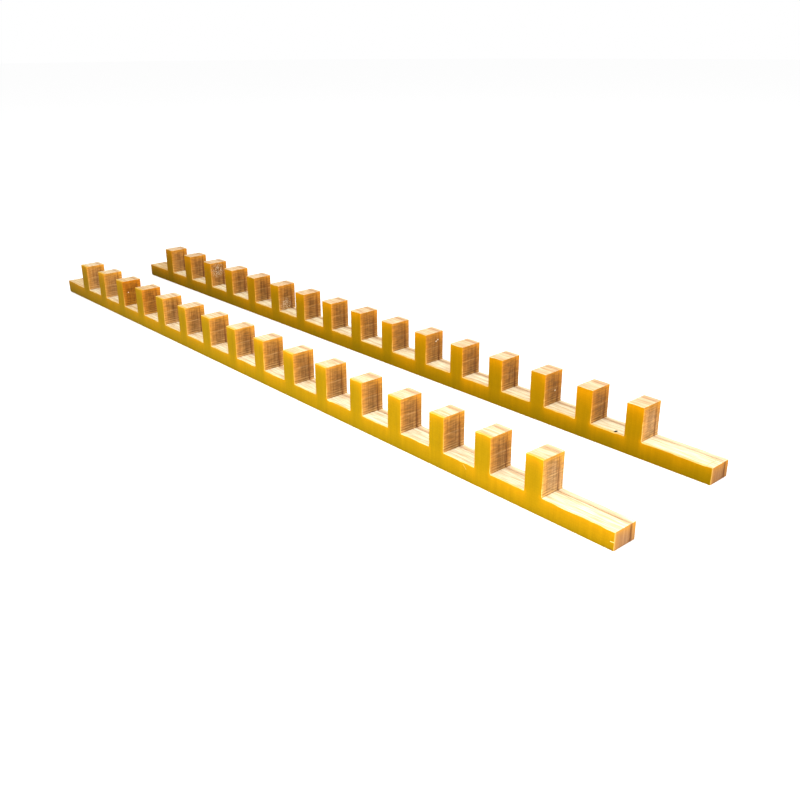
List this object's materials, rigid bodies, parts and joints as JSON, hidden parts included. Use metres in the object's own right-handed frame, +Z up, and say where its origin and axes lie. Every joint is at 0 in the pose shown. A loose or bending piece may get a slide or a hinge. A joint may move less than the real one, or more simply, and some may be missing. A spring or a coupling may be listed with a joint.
{
  "type": "square-toothed comb rack",
  "caption": "Straight laminate comb racks with square teeth and plain end tabs, each a thick board bonded to a thin backing board, lying loosely side by side.",
  "frame": {"origin": "the centre of the front rack's underside", "axes": "+X along the racks towards the longer tab, +Y across them towards the rear rack, +Z up out of the teeth"},
  "size_m": [0.5319, 0.0933, 0.027],
  "materials": {
    "main_laminate": "gloss",
    "bond": "matte",
    "backing_laminate": "gloss"
  },
  "bodies": {
    "front_rack": {"front_main_board": "main_laminate", "front_bond_line": "bond", "front_backing_board": "backing_laminate"},
    "rear_rack": {"rear_main_board": "main_laminate", "rear_bond_line": "bond", "rear_backing_board": "backing_laminate"}
  },
  "joints": [
    {"name": "rack_spacing", "type": "slide", "parent": "front_rack", "child": "rear_rack", "axis": [0, 1, 0], "range_m": [-0.055, 0.1]}
  ]
}
